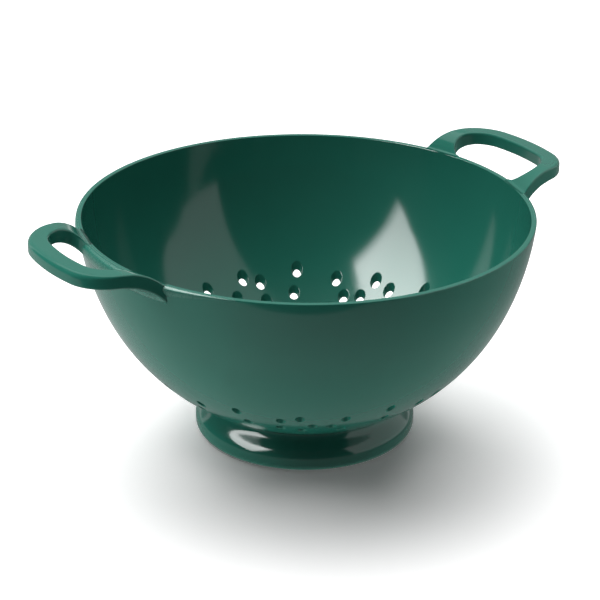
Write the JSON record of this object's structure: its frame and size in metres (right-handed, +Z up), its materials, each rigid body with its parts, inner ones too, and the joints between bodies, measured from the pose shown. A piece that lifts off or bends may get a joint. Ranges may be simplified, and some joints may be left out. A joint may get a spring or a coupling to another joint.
{
  "type": "colander",
  "caption": "Round moulded colander: a deep bowl with drain holes in its lower wall and floor, raised loop handles at the rim and a flared foot ring.",
  "frame": {"origin": "centre of the bowl's axis on the plane the foot ring stands on", "axes": "+Z up along the bowl's axis, X through both handles, Y across"},
  "size_m": [0.319, 0.25, 0.1375],
  "materials": {
    "green_melamine": "smooth moulded melamine, dark green, glossy"
  },
  "bodies": {
    "root": {"bowl": "green_melamine", "foot_ring": "green_melamine", "handle_right": "green_melamine", "handle_left": "green_melamine"}
  },
  "joints": []
}
